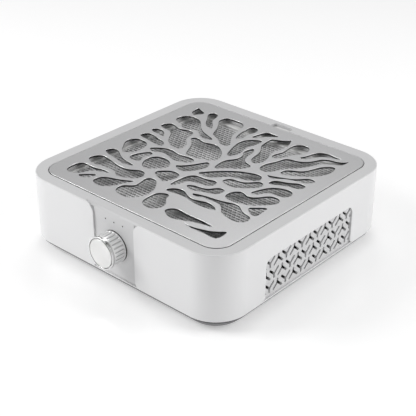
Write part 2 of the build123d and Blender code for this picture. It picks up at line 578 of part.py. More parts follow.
# ---------------------------------------------------------------- suction grille
# The openings branch like coral inside a 200 mm square. Each is one closed smooth curve through the
# points below, read anticlockwise or clockwise from any of them; the metal left between them is
# 4 to 8 mm wide, and wide plain metal stays at the front right.
CORAL = (
    # back left
    ((-99.5, 98), (-93, 95), (-86.5, 91), (-89.5, 84), (-92, 81), (-97, 83.5), (-100, 91)),
    (
        (-80.5, 97), (-77, 99.5), (-70, 95), (-67.5, 85), (-58, 73.5), (-54.5, 67), (-60.5, 68), (-73, 81),
        (-80, 91),
    ),
    (
        (-61.5, 93), (-58, 99), (-51, 100), (-41, 100), (-32.5, 94), (-29.3, 81), (-26, 69), (-17, 55),
        (-13.5, 48.5), (-18, 45), (-31, 51.5), (-43, 57.5), (-48.5, 68), (-57, 82),
    ),
    ((-25, 94), (-22.5, 99), (-17, 99), (-13, 92), (-15.5, 81), (-15.5, 68), (-17.3, 66), (-23, 75)),
    ((-9.3, 81.5), (-7, 91), (-3, 99), (4, 100), (11.5, 99), (4, 91.5), (-2, 83), (-6.5, 79.8)),
    # back middle and right
    (
        (26, 100), (18, 93.5), (10.5, 89), (10, 82), (12.2, 70), (19, 59.5), (22, 46.5), (26, 36.8),
        (31.5, 34.8), (36, 42), (34.5, 53), (30.3, 64), (32.8, 79), (31, 93),
    ),
    (
        (45, 100), (37.5, 95), (36.3, 86), (37, 72), (34.3, 61), (37, 57), (42, 59), (48.5, 72.5),
        (55.5, 84), (56, 92), (51, 99),
    ),
    (
        (58, 76.5), (61.8, 87), (65.5, 96), (72, 100), (82, 100), (91, 99), (77, 93), (70.5, 87.5), (65, 77),
        (60, 74.4),
    ),
    (
        (99.5, 99), (93.5, 93.2), (81.5, 89.8), (75.3, 84), (72, 76.5), (61, 67.3), (50, 64), (45, 51.5),
        (40.6, 37), (44, 28.5), (52.5, 28), (59.5, 40), (69, 52.5), (77, 66), (85.5, 80.5), (97.5, 87.5),
        (100, 92),
    ),
    (
        (63, 39), (65.5, 44.5), (77, 52), (83, 64), (90.5, 77), (97, 80), (100, 75), (100, 64),
        (94.5, 53), (84, 43.5), (71, 36), (65.5, 35),
    ),
    # right
    (
        (57.6, 23.8), (71, 28.8), (85.5, 37.5), (95.5, 45), (100, 43), (97.5, 36.7), (84.5, 32),
        (70, 24.5), (60, 21.8),
    ),
    (
        (68, 15.5), (70, 19), (82, 24.5), (93, 30.3), (99.5, 28.5), (98.5, 22), (87.5, 18.5), (75, 12.3),
        (69.5, 11),
    ),
    (
        (67.8, -12), (72.3, -0.5), (78, 7.3), (86, 11.5), (95, 12.3), (100, 6), (98, -0.5), (88, -2.8),
        (79.5, -6), (73.5, -15), (69, -15),
    ),
    (
        (53, -31), (54.3, -25), (61, -19.6), (70, -22), (78, -18.5), (85.5, -9), (96.5, -7.8), (100, -14),
        (95, -23), (85, -33), (74, -38), (61.5, -39), (55, -36.5),
    ),
    ((86, -37.5), (90.5, -33.5), (98.5, -28.5), (100, -36), (99, -46.5), (92.5, -45.5)),
    # front right
    (
        (28.6, -52), (40, -48.2), (60, -44.5), (75.5, -41.6), (86, -48), (97.5, -51.8), (100, -58),
        (96, -64.5), (83, -65.3), (72, -61.5), (64, -53.3), (50, -50.8), (36.5, -53.8), (30, -54.2),
    ),
    (
        (4.3, -62), (11, -55), (18, -54), (29, -59.3), (40, -59.3), (54, -56.3), (64.6, -62.5), (58, -64.8),
        (40, -65), (15, -63.4),
    ),
    (
        (31, -89.5), (35, -85), (50, -84.7), (72, -84.7), (82.8, -86.5), (70, -90), (57.5, -95), (46, -99.3),
        (35.5, -97),
    ),
    (
        (60.8, -98.3), (82, -94.9), (93, -88.8), (98.5, -85), (100, -91), (98.5, -99.3), (85, -99.7),
        (66, -99.7),
    ),
    (
        (2, -77), (6, -71.3), (13, -69.2), (17, -76.5), (22.5, -83), (24.8, -90), (20, -98.3), (11, -99.7),
        (3.5, -94), (1.8, -85),
    ),
    # front left
    (
        (-25.4, -64), (-23, -57), (-18, -56.3), (-10.5, -62), (-3.7, -73), (-3, -86.5), (-10, -97.5),
        (-22, -99.5), (-31.5, -95), (-32.3, -85), (-24.5, -77.5), (-24.5, -69),
    ),
    (
        (-62, -94), (-59.3, -86), (-50, -81), (-38, -76), (-30.5, -72.2), (-35, -82.5), (-39.5, -94),
        (-45, -98.8), (-58, -99.2),
    ),
    ((-80.5, -97.5), (-74, -91), (-67.5, -87), (-68, -94.5), (-73, -99), (-79, -99.3)),
    (
        (-100, -88), (-95.5, -78), (-80, -77.8), (-68, -75), (-61.8, -76), (-74, -82), (-79.5, -88.5),
        (-85, -98.5), (-95, -99.8),
    ),
    (
        (-100, -62), (-93.5, -54.5), (-78, -56.2), (-60.5, -59.2), (-50, -56.7), (-40, -51.5), (-32.5, -56),
        (-31.5, -64), (-43, -73), (-50.5, -75.2), (-58, -71), (-75, -70.3), (-92, -71.7), (-99, -67.5),
    ),
    (
        (-100, -41), (-94, -35.3), (-81.5, -41), (-66, -46.5), (-55.3, -49.5), (-60, -52.3), (-76, -50.3),
        (-93, -47.5), (-99, -44.5),
    ),
    # left
    (
        (-100, -9.5), (-94, -2.8), (-79.5, -5), (-74.8, -15), (-76, -27), (-82.5, -34.3), (-95.5, -22.8),
    ),
    (
        (-72, -36), (-70.3, -27), (-60, -16.7), (-58, -20.5), (-60.5, -29.5), (-57.8, -37.5), (-62, -40.3),
        (-69.8, -39),
    ),
    (
        (-55, -30), (-51, -19.5), (-44.5, -17), (-31.5, -20.7), (-26.8, -28), (-34, -40), (-44.5, -45),
        (-52.5, -38),
    ),
    (
        (-28.5, -42), (-23, -35.5), (-13.5, -31.4), (-6.5, -34), (-5.3, -45), (-9.5, -53.3), (-18.5, -50.5),
        (-26.5, -47),
    ),
    (
        (-22.3, -19.5), (-14.5, -11.5), (-8.8, -1.5), (-3.5, 5.3), (1.5, 0), (0.5, -12), (-6, -22.5),
        (-16, -25.2),
    ),
    (
        (-69.6, -8.5), (-64.5, -3.8), (-51.5, 1.5), (-36, -0.5), (-19, 0.2), (-16, -3.5), (-25, -12),
        (-36, -13.2), (-54, -9.3), (-66, -13),
    ),
    ((-100, 8.5), (-94, 15), (-80, 12), (-67.5, 7.8), (-64.5, 2.5), (-74, 0.8), (-88, 3), (-98.5, 5)),
    ((-100, 25.5), (-94.5, 29.3), (-84, 25.5), (-79.3, 19), (-88, 20.2), (-97.5, 21.7)),
    (
        (-100, 41.5), (-92.5, 48.2), (-79.5, 44.7), (-67, 48.2), (-60.5, 45), (-57.5, 33), (-46, 17),
        (-47, 9), (-64, 12.2), (-72.7, 21.5), (-82, 32.5), (-97, 35.5),
    ),
    (
        (-100, 66.5), (-95, 74.5), (-86, 76.8), (-74.3, 72), (-65, 62.5), (-49.5, 53.5), (-36, 46.5),
        (-42, 44.2), (-51, 46), (-62, 52.6), (-76, 48.6), (-88, 54), (-97.5, 58.5),
    ),
    # middle
    (
        (-54, 37), (-50, 39.5), (-39.5, 37.5), (-26, 40.4), (-12.5, 34.8), (-3, 23.5), (-1.5, 14),
        (-15, 6.2), (-33, 4.8), (-37.3, 11.5), (-43.5, 23.5), (-52.8, 33.5),
    ),
    (
        (-10.7, 62), (-7.5, 71.5), (0, 78), (4, 79.5), (6.2, 69), (3.2, 56), (6.3, 38), (1, 30), (-4.5, 38),
        (-9.3, 53),
    ),
    (
        (7.8, 54), (11, 58.8), (15, 53), (17.5, 39), (23, 31.3), (33, 27), (31, 18), (18, 8), (9, 0.8),
        (6, 8), (6, 20.5), (11.8, 31), (10.5, 43),
    ),
    (
        (4, -16), (16.5, -1), (28.5, 9.3), (43, 16.5), (55, 17), (58.5, 10.5), (44.5, 0.3), (34, -2.8),
        (20.5, -16), (9, -19.3),
    ),
    (
        (32.3, -11.5), (37.5, -5.7), (50, -3), (63.5, 7.5), (67.8, 3), (63, -7.5), (51.5, -16.5),
        (38, -17.5),
    ),
    (
        (0.3, -31), (5, -24.3), (20.5, -21.6), (29.5, -20.2), (32.3, -27.5), (21, -34), (8.5, -37.5),
        (4.5, -50), (1, -53.5), (-1, -42),
    ),
    ((13.6, -43), (18, -40), (33, -36), (41, -27.3), (46.5, -28), (46, -38), (34.5, -43.3), (17, -47)),
)
GRILLE_FOOT = HEIGHT - GRILLE_THICK

with BuildPart() as suction_grille:
    with BuildSketch(Plane.XY.offset(GRILLE_FOOT)):
        square(BAY_EDGE - GRILLE_GAP, BAY_CORNER - GRILLE_GAP)
        for outline in CORAL:
            with BuildLine():
                Spline(*outline, periodic=True)
            make_face(mode=Mode.SUBTRACT)
    extrude(amount=GRILLE_THICK)
suction_grille.part.label = "suction_grille"
export_step(suction_grille.part, "parts/suction_grille.step")

with BuildPart() as grille_magnets:
    with BuildSketch(Plane.XY.offset(GRILLE_FOOT - MAGNET_HIGH)):
        with Locations(*MAGNETS):
            Circle(MAGNET_RADIUS)
    extrude(amount=MAGNET_HIGH)
grille_magnets.part.label = "grille_magnets"
export_step(grille_magnets.part, "parts/grille_magnets.step")

# ---------------------------------------------------------------- filter cartridge
FILTER_X = FILTER_HALF - FILTER_SIDE_BAR
FILTER_Y = FILTER_HALF - FILTER_END_BAR
PULL_REACH = PULL_FAR - 0.4
TAB_HALF = PULL_HALF - 0.5

with BuildPart() as filter_frame:
    with BuildSketch(Plane.XY.offset(FILTER_FOOT)):
        square(FILTER_HALF, 5)
        Rectangle(2 * FILTER_X, 2 * FILTER_Y, mode=Mode.SUBTRACT)
    extrude(amount=FILTER_TOP - FILTER_FOOT)
    with BuildSketch(Plane.XY.offset(FILTER_TOP)):
        with Locations((0, (FILTER_HALF - 4 + PULL_REACH) / 2)):
            Rectangle(2 * TAB_HALF, PULL_REACH - FILTER_HALF + 4)
        fillet(vertices().group_by(Axis.Y)[-1], PULL_CORNER - 0.5)
    extrude(amount=PULL_TAB)
    with BuildSketch(Plane.XY.offset(FILTER_TOP + PULL_TAB)):
        with Locations((0, (PULL_PAD_FOOT + PULL_REACH) / 2)):
            Rectangle(2 * TAB_HALF, PULL_REACH - PULL_PAD_FOOT)
        fillet(vertices().group_by(Axis.Y)[-1], PULL_CORNER - 0.5)
    extrude(amount=PULL_PAD_TOP - FILTER_TOP - PULL_TAB)
filter_frame.part.label = "filter_frame"
export_step(filter_frame.part, "parts/filter_frame.step")

# the paper runs up and down in pleats whose folds lie along X
PLEAT_PITCH = (2 * FILTER_Y - PAPER) / PLEATS
with BuildPart() as filter_paper:
    with BuildSketch(ACROSS):
        crests = []
        for n in range(2 * PLEATS + 1):
            crests.append((-FILTER_Y + PAPER / 2 + n * PLEAT_PITCH / 2, PLEAT_HIGH if n % 2 else PLEAT_LOW))
        upper = [(y, z + PAPER) for y, z in crests]
        lower = [(y, z - PAPER) for y, z in reversed(crests)]
        with BuildLine():
            Polyline(*upper, *lower, close=True)
        make_face()
    extrude(amount=FILTER_X, both=True)
filter_paper.part.label = "filter_paper"
export_step(filter_paper.part, "parts/filter_paper.step")

with BuildPart() as filter_mesh:
    with BuildSketch(Plane.XY.offset(PLEAT_HIGH + PAPER)):
        Rectangle(2 * FILTER_X, 2 * FILTER_Y)
    extrude(amount=0.5)
filter_mesh.part.label = "filter_mesh"
export_step(filter_mesh.part, "parts/filter_mesh.step")

with BuildPart() as filter_bay:
    with BuildSketch(Plane.XY.offset(BAY_FOOT)):
        square_ring(BAY_WALL_IN + BAY_WALL, 6, BAY_WALL_IN, 5)
    extrude(amount=LEDGE_FOOT - BAY_FOOT)
    with BuildSketch(Plane.XY.offset(BAY_FOOT)):
        square_ring(BAY_WALL_IN + 1, 5, FILTER_X - 1, 3)
    extrude(amount=FILTER_FOOT - SEAL_HIGH - BAY_FOOT)
    with BuildSketch(Plane.XY.offset(FILTER_TOP - 0.4)):
        with Locations((0, BAY_WALL_IN + BAY_WALL / 2)):
            Rectangle(2 * PULL_HALF, 3 * BAY_WALL)
    extrude(amount=5, mode=Mode.SUBTRACT)
    with BuildSketch(Plane.XY.offset(BAY_FOOT)):
        with Locations(*[(x, y) for x in (2 - EAR_X, EAR_X - 2) for y in (-EAR_Y, EAR_Y)]):
            Rectangle(10, 12)
        with Locations(*BAY_EARS):
            Circle(SCREW_CORE, mode=Mode.SUBTRACT)
        square(BAY_WALL_IN + 0.5, 5, Mode.SUBTRACT)
    extrude(amount=8)
filter_bay.part.label = "filter_bay"
export_step(filter_bay.part, "parts/filter_bay.step")

with BuildPart() as filter_seal:
    with BuildSketch(Plane.XY.offset(FILTER_FOOT - SEAL_HIGH)):
        square_ring(FILTER_HALF + 0.5, 5, FILTER_X, 2)
    extrude(amount=SEAL_HIGH)
filter_seal.part.label = "filter_seal"
export_step(filter_seal.part, "parts/filter_seal.step")

# ---------------------------------------------------------------- fan deck and air path
DECK_FOOT = BAY_FOOT - DECK_THICK
BELL_LIP = BAY_FOOT - BELL_RADIUS  # lower edge of the bellmouth, inside the impeller's collar

with BuildPart() as inlet_deck:
    with BuildSketch(Plane.XY.offset(DECK_FOOT)):
        square(DECK_HALF, DECK_CORNER)
        Circle(INLET_RADIUS + BELL_RADIUS, mode=Mode.SUBTRACT)
        with Locations(*FOUR_DECK, *BAY_EARS):
            Circle(1.7, mode=Mode.SUBTRACT)
    extrude(amount=DECK_THICK)
    with BuildSketch(Plane.XZ):
        with BuildLine():
            outer_r = INLET_RADIUS + BELL_RADIUS
            throat = BELL_RADIUS - BLADE_THICK
            RadiusArc((outer_r, BAY_FOOT), (INLET_RADIUS, BELL_LIP), -BELL_RADIUS)
            Line((INLET_RADIUS, BELL_LIP), (INLET_RADIUS + BLADE_THICK, BELL_LIP))
            RadiusArc((INLET_RADIUS + BLADE_THICK, BELL_LIP), (outer_r, BELL_LIP + throat), throat)
            Line((outer_r, BELL_LIP + throat), (outer_r, BAY_FOOT))
        make_face()
    revolve(axis=Axis.Z)
inlet_deck.part.label = "inlet_deck"
export_step(inlet_deck.part, "parts/inlet_deck.step")

with BuildPart() as inlet_guard:
    with BuildSketch(Plane.XY.offset(BAY_FOOT)):
        for radius in (70, 56, 42, 28, 14):
            Circle(radius)
            Circle(radius - 2, mode=Mode.SUBTRACT)
        with PolarLocations(35.5, 6):
            Rectangle(69, 2.4)
    extrude(amount=1.8)
inlet_guard.part.label = "inlet_guard"
export_step(inlet_guard.part, "parts/inlet_guard.step")

with BuildPart() as deck_screws:
    screws(Plane.XY, DECK_FOOT, FOUR_DECK + BAY_EARS, 2.8, SCREW_CORE, 9.0)
deck_screws.part.label = "deck_screws"
export_step(deck_screws.part, "parts/deck_screws.step")

# two walls steer the air from the fan to the side vents
GUIDE_RADIUS = 86.0
GUIDE_WALL = 2.0
with BuildPart() as air_guides:
    for way in (-1, 1):
        with BuildSketch(Plane.XY.offset(TRAY_FLOOR)):
            with BuildLine():
                turn = radians(42)
                end_x = GUIDE_RADIUS * cos(turn)
                end_y = way * GUIDE_RADIUS * sin(turn)
                ThreePointArc((-end_x, end_y), (0, way * GUIDE_RADIUS), (end_x, end_y))
                Line((end_x, end_y), (120, way * 72))
                Line((-end_x, end_y), (-120, way * 72))
            trace(line_width=GUIDE_WALL)
        extrude(amount=DECK_FOOT - TRAY_FLOOR)
    # low arches let the two leads through
    with BuildSketch(FRONT.offset(GUIDE_RADIUS - 5)):
        with Locations((MOTOR_LEAD_X, TRAY_FLOOR + 2)):
            Rectangle(5, 4)
    extrude(amount=10, mode=Mode.SUBTRACT)
    with BuildSketch(FRONT):
        with Locations((POWER_LEAD_X, TRAY_FLOOR + 2.5)):
            Rectangle(7, 5)
    extrude(amount=SIDE / 3, both=True, mode=Mode.SUBTRACT)
air_guides.part.label = "air_guides"
export_step(air_guides.part, "parts/air_guides.step")

# ---------------------------------------------------------------- impeller, on the motor's rotor
with BuildPart() as impeller:
    with BuildSketch(Plane.XY.offset(IMPELLER_FOOT)):
        Circle(IMPELLER_RADIUS)
        Circle(CAN_RADIUS, mode=Mode.SUBTRACT)
    extrude(amount=BLADE_THICK)
    with BuildSketch(Plane.XY.offset(IMPELLER_FOOT)):
        Circle(CAN_RADIUS + 2.2)
        Circle(CAN_RADIUS, mode=Mode.SUBTRACT)
    extrude(amount=CAN_TOP - IMPELLER_FOOT)
    with BuildSketch(Plane.XY.offset(CAN_TOP)):
        Circle(CAN_RADIUS + 2.2)
        Circle(SHAFT_RADIUS + 1.5, mode=Mode.SUBTRACT)
        with Locations(*ROTOR_HOLES):
            Circle(M3_CORE, mode=Mode.SUBTRACT)
    extrude(amount=BLADE_THICK)
    with BuildSketch(Plane.XY.offset(IMPELLER_FOOT)):
        with PolarLocations(0, BLADES):
            tip = on_circle(IMPELLER_RADIUS - 1, 1, -34)[0]
            SlotArc(arc=RadiusArc((CAN_RADIUS + 10, 0), tip, 52), height=BLADE_THICK)
    extrude(amount=BLADE_TOP - IMPELLER_FOOT)
    with BuildSketch(Plane.XY.offset(BLADE_TOP)):
        Circle(IMPELLER_RADIUS)
        Circle(INLET_RADIUS + 3.2, mode=Mode.SUBTRACT)
    extrude(amount=BLADE_THICK)
    with BuildSketch(Plane.XY.offset(BLADE_TOP)):
        Circle(INLET_RADIUS + 4.6)
        Circle(INLET_RADIUS + 3.2, mode=Mode.SUBTRACT)
    extrude(amount=4.6)
impeller.part.label = "impeller"
export_step(impeller.part, "parts/impeller.step")

with BuildPart() as impeller_screws:
    screws(Plane.XY, CAN_TOP + BLADE_THICK, ROTOR_HOLES, 2.5, M3_CORE, CAN_WALL + BLADE_THICK, -1)
impeller_screws.part.label = "impeller_screws"
export_step(impeller_screws.part, "parts/impeller_screws.step")

with BuildPart() as rotor_can:
    with BuildSketch(Plane.XY.offset(ROTOR_FOOT)):
        Circle(CAN_RADIUS)
        Circle(CAN_RADIUS - CAN_WALL, mode=Mode.SUBTRACT)
    extrude(amount=CAN_TOP - ROTOR_FOOT)
    with BuildSketch(Plane.XY.offset(CAN_TOP - CAN_WALL)):
        Circle(CAN_RADIUS)
        Circle(SHAFT_RADIUS, mode=Mode.SUBTRACT)
        with Locations(*ROTOR_HOLES):
            Circle(M3_CORE, mode=Mode.SUBTRACT)
    extrude(amount=CAN_WALL)
rotor_can.part.label = "rotor_can"
export_step(rotor_can.part, "parts/rotor_can.step")

with BuildPart() as rotor_magnet:
    with BuildSketch(Plane.XY.offset(ROTOR_FOOT + 1)):
        Circle(CAN_RADIUS - CAN_WALL)
        Circle(CAN_RADIUS - CAN_WALL - 2, mode=Mode.SUBTRACT)
    extrude(amount=19)
rotor_magnet.part.label = "rotor_magnet"
export_step(rotor_magnet.part, "parts/rotor_magnet.step")

with BuildPart() as motor_shaft:
    with BuildSketch(Plane.XY.offset(MOUNT_TOP + 0.6)):
        Circle(SHAFT_RADIUS)
    extrude(amount=CAN_TOP + BLADE_THICK - MOUNT_TOP - 0.6)
    chamfer(motor_shaft.edges(), 0.4)
motor_shaft.part.label = "motor_shaft"
export_step(motor_shaft.part, "parts/motor_shaft.step")

# ---------------------------------------------------------------- motor, fixed on the tray
GROMMET_RADIUS = 2.4
with BuildPart() as motor_mount:
    with BuildSketch(Plane.XY.offset(MOUNT_FOOT)):
        Circle(MOUNT_RADIUS)
        with Locations(*MOTOR_HOLES):
            Circle(GROMMET_RADIUS, mode=Mode.SUBTRACT)
    extrude(amount=MOUNT_TOP - MOUNT_FOOT)
    with BuildSketch(Plane.XY.offset(MOUNT_TOP)):
        Circle(TUBE_RADIUS)
        with PolarLocations(19, 3, start_angle=30):
            Circle(2.0)
    extrude(amount=1.0)
    with BuildSketch(Plane.XY.offset(MOUNT_FOOT)):
        with Locations((MOTOR_LEAD_X, 1 - MOUNT_RADIUS)):
            Rectangle(6, 6)
    extrude(amount=2.6)
    with BuildSketch(Plane.XY.offset(MOUNT_TOP)):
        Circle(TUBE_RADIUS)
    extrude(amount=BEARING_FEET[1] + BEARING_LENGTH - MOUNT_TOP)
    with BuildSketch(Plane.XY.offset(MOUNT_TOP + 0.2)):
        Circle(4.2)
    extrude(amount=30, mode=Mode.SUBTRACT)
    for foot in BEARING_FEET:
        with BuildSketch(Plane.XY.offset(foot)):
            Circle(BEARING_RADIUS)
        extrude(amount=BEARING_LENGTH, mode=Mode.SUBTRACT)
motor_mount.part.label = "motor_mount"
export_step(motor_mount.part, "parts/motor_mount.step")

for name, foot in zip(("bearing_lower", "bearing_upper"), BEARING_FEET):
    with BuildPart() as bearing:
        with BuildSketch(Plane.XY.offset(foot)):
            Circle(BEARING_RADIUS)
            Circle(SHAFT_RADIUS + RUNNING, mode=Mode.SUBTRACT)
        extrude(amount=BEARING_LENGTH)
    bearing.part.label = name
    export_step(bearing.part, "parts/" + name + ".step")

with BuildPart() as stator_core:
    with BuildSketch(Plane.XY.offset(STATOR_FOOT)):
        Circle(12)
        with PolarLocations(18, POLES):
            Rectangle(14, 4)
        with PolarLocations(25.4, POLES):
            RectangleRounded(2.6, 14, 1.0)
        Circle(TUBE_RADIUS, mode=Mode.SUBTRACT)
    extrude(amount=STATOR_HIGH)
stator_core.part.label = "stator_core"
export_step(stator_core.part, "parts/stator_core.step")

with BuildPart() as stator_windings:
    with BuildSketch(Plane.XY.offset(STATOR_FOOT - COIL_OVERHANG)):
        with PolarLocations(18.6, POLES):
            Rectangle(8.6, 8.4)
    extrude(amount=STATOR_HIGH + 2 * COIL_OVERHANG)
    with BuildSketch(Plane.XY.offset(STATOR_FOOT)):
        with PolarLocations(18.6, POLES):
            Rectangle(12, 4)
    extrude(amount=STATOR_HIGH, mode=Mode.SUBTRACT)
    fillet(stator_windings.edges().filter_by(Axis.Z).group_by(SortBy.LENGTH)[-1], 1.2)
stator_windings.part.label = "stator_windings"
export_step(stator_windings.part, "parts/stator_windings.step")

with BuildPart() as motor_board:
    with BuildSketch(Plane.XY.offset(MOUNT_TOP + 1.0)):
        Circle(27)
        Circle(TUBE_RADIUS + 1, mode=Mode.SUBTRACT)
    extrude(amount=1.4)
motor_board.part.label = "motor_board"
export_step(motor_board.part, "parts/motor_board.step")

with BuildPart() as motor_grommets:
    with BuildSketch(Plane.XY.offset(MOUNT_FOOT)):
        with Locations(*MOTOR_HOLES):
            Circle(GROMMET_RADIUS)
            Circle(M3_CORE, mode=Mode.SUBTRACT)
    extrude(amount=MOUNT_TOP - MOUNT_FOOT)
motor_grommets.part.label = "motor_grommets"
export_step(motor_grommets.part, "parts/motor_grommets.step")

with BuildPart() as motor_screws:
    screws(Plane.XY, MOUNT_TOP, MOTOR_HOLES, 3.0, M3_CORE, MOUNT_TOP - MOUNT_FOOT + 3.0, -1)
motor_screws.part.label = "motor_screws"
export_step(motor_screws.part, "parts/motor_screws.step")

# ---------------------------------------------------------------- power inlet and internal leads
BACK = Plane(origin=(INLET_X, 0, INLET_Z), x_dir=(-1, 0, 0), z_dir=(0, 1, 0))  # looks at the back face
with BuildPart() as power_inlet:
    with BuildSketch(BACK.offset(INLET_BACK)):
        RectangleRounded(12, 12, 1)
    extrude(amount=INLET_BODY)
    with BuildSketch(BACK.offset(INLET_BACK + INLET_BODY)):
        Circle(INLET_BARREL)
    extrude(amount=SIDE / 2 - 0.4 - INLET_BACK - INLET_BODY)
    with BuildSketch(BACK.offset(INLET_BACK + 4)):
        Circle(3.2)
        Circle(1.0, mode=Mode.SUBTRACT)
    extrude(amount=20, mode=Mode.SUBTRACT)
    with BuildSketch(BACK.offset(SIDE / 2 - 2.4)):
        Circle(1.0)
    extrude(amount=3, mode=Mode.SUBTRACT)
power_inlet.part.label = "power_inlet"
export_step(power_inlet.part, "parts/power_inlet.step")

with BuildPart() as inlet_nut:
    with BuildSketch(BACK.offset(SKIRT_OUT - 2.6)):
        RegularPolygon(8.0, 6)
        Circle(INLET_BARREL, mode=Mode.SUBTRACT)
    extrude(amount=2.6)
inlet_nut.part.label = "inlet_nut"
export_step(inlet_nut.part, "parts/inlet_nut.step")


def bend_radii(route):
    """One radius for each corner: 0.45 of the shorter run over the tangent of half the turn."""
    radii = []
    for before, at, after in zip(route, route[1:], route[2:]):
        arrive = Vector(*at) - Vector(*before)
        leave = Vector(*after) - Vector(*at)
        half_turn = radians(arrive.get_angle(leave)) / 2
        radii.append(0.45 * min(arrive.length, leave.length) * cos(half_turn) / sin(half_turn))
    return radii


# from the inlet down to the floor, along the left side and up to the control board
POWER_ROUTE = [
    (INLET_X, INLET_BACK, INLET_Z), (-70, 102, 24), (-74, 95, 10), (-85, 87, 5.4), (-103, 74, 5.2),
    (-105, 30, 5.2), (-103, -20, 5.2), (-105, -68, 5.2), (-98, -92, 5.2), (-74, -107, 5.2),
    (-42, -112, 5.3), (-18, -BOARD_FACE + 0.8, 8), (-18, -BOARD_FACE + 0.8, 23),
]
# from the motor's outlet along the floor and up to the control board
MOTOR_ROUTE = [
    (MOTOR_LEAD_X, -38, 6.3), (MOTOR_LEAD_X, -46, 6.3), (MOTOR_LEAD_X + 0.1, -56, 5.0),
    (MOTOR_LEAD_X, -98, 5.0),
    (10, -BOARD_FACE + 0.8, 9), (10, -BOARD_FACE + 0.8, 23),
]
LEADS = (
    ("power_lead", POWER_ROUTE, POWER_LEAD_RADIUS),
    ("motor_lead", MOTOR_ROUTE, MOTOR_LEAD_RADIUS),
)
for name, route, thick in LEADS:
    radii = bend_radii(route)
    print(name, "bend radii", [round(radius, 1) for radius in radii])
    with BuildPart() as lead:
        with BuildLine() as path:
            FilletPolyline(*route, radius=radii)
        centre_line = path.wires()[0]
        with BuildSketch(Plane(origin=centre_line @ 0, z_dir=centre_line % 0)):
            Circle(thick)
        sweep(path=centre_line)
    print(name, "volume", round(lead.part.volume), "expected", round(pi * thick**2 * centre_line.length))
    lead.part.label = name
    export_step(lead.part, "parts/" + name + ".step")

CLIPS = (
    (POWER_LEAD_X, 5, POWER_LEAD_RADIUS),
    (POWER_LEAD_X, -44, POWER_LEAD_RADIUS),
    (MOTOR_LEAD_X + 0.05, -70, MOTOR_LEAD_RADIUS),
)
with BuildPart() as lead_clips:
    for x, y, radius in CLIPS:
        with BuildSketch(FRONT.offset(-y - 2)):
            with Locations((x, TRAY_FLOOR + 1.9)):
                Rectangle(8, 3.8)
            with Locations((x, TRAY_FLOOR + radius + 0.2)):
                Circle(radius + 0.12, mode=Mode.SUBTRACT)
                with Locations((0, -2)):
                    Rectangle(2 * radius + 0.2, 4, mode=Mode.SUBTRACT)
        extrude(amount=4)
lead_clips.part.label = "lead_clips"
export_step(lead_clips.part, "parts/lead_clips.step")
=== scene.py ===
import bmesh
import bpy
import json
from math import cos, pi, radians, sin
from mathutils import Matrix, Vector, noise


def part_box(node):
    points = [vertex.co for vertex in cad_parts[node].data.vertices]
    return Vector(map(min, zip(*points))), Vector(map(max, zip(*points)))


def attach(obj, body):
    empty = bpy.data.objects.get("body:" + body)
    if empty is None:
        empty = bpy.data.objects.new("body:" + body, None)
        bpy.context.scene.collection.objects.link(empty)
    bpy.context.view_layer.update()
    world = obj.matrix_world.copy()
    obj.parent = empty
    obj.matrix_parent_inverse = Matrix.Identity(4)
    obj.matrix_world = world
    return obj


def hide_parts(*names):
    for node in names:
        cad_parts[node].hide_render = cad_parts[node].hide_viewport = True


# The looks of the nail dust collector. Metres, in the CAD frame: +Z up, the knob faces -Y.

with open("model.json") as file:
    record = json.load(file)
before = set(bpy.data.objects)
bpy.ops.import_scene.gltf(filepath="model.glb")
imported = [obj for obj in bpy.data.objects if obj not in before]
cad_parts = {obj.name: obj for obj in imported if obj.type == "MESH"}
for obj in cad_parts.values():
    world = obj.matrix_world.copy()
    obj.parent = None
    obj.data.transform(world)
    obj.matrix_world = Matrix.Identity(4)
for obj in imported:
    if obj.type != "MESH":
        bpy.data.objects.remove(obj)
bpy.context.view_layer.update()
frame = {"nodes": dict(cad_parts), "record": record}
NODES = frame["nodes"]
MM = 0.001

# ---------------------------------------------------------------- camera
CAMERA_AZIMUTH = radians(41.63)  # round from the front towards the right
CAMERA_ELEVATION = radians(29.47)
CAMERA_ROLL = radians(0.15)
CAMERA_DISTANCE = 1.03667
CAMERA_RIGHT = 0.00076
CAMERA_UP = 0.02722
CAMERA_LENS = 87.05  # on a sensor 36 mm wide


def add_camera():
    right = Vector((cos(CAMERA_AZIMUTH), sin(CAMERA_AZIMUTH), 0))
    back = Vector((
        sin(CAMERA_AZIMUTH) * cos(CAMERA_ELEVATION),
        -cos(CAMERA_AZIMUTH) * cos(CAMERA_ELEVATION),
        sin(CAMERA_ELEVATION),
    ))
    up = back.cross(right)
    turned_right = right * cos(CAMERA_ROLL) + up * sin(CAMERA_ROLL)
    turned_up = up * cos(CAMERA_ROLL) - right * sin(CAMERA_ROLL)
    place = back * CAMERA_DISTANCE + turned_right * CAMERA_RIGHT + turned_up * CAMERA_UP
    data = bpy.data.cameras.new("camera")
    data.lens = CAMERA_LENS
    camera = bpy.data.objects.new("camera", data)
    axes = Matrix((turned_right, turned_up, back)).transposed().to_4x4()
    camera.matrix_world = Matrix.Translation(place) @ axes
    bpy.context.scene.collection.objects.link(camera)
    bpy.context.scene.camera = camera


# ---------------------------------------------------------------- light and floor
FLOOR_HALF = 4.0
FLOOR_GLOW = 0.29  # the table is lit from below, as a product table is
WORLD_STRENGTH = 0.44
SOFTBOXES = (  # name, place, height of the point it faces, side, power
    ("left_softbox", (-1.1, -0.95, 0.95), 0.04, 0.8, 14.5),
    ("right_softbox", (1.15, 0.8, 0.8), 0.04, 0.9, 10),
    ("top_softbox", (-0.45, 0.62, 1.3), 0.06, 0.45, 2.2),
)


def add_softbox(name, place, aim_height, side, power):
    data = bpy.data.lights.new(name, "AREA")
    data.shape = "SQUARE"
    data.size = side
    data.energy = power
    lamp = bpy.data.objects.new(name, data)
    lamp.location = place
    towards = Vector((0, 0, aim_height)) - Vector(place)
    lamp.rotation_euler = towards.to_track_quat("-Z", "Y").to_euler()
    bpy.context.scene.collection.objects.link(lamp)


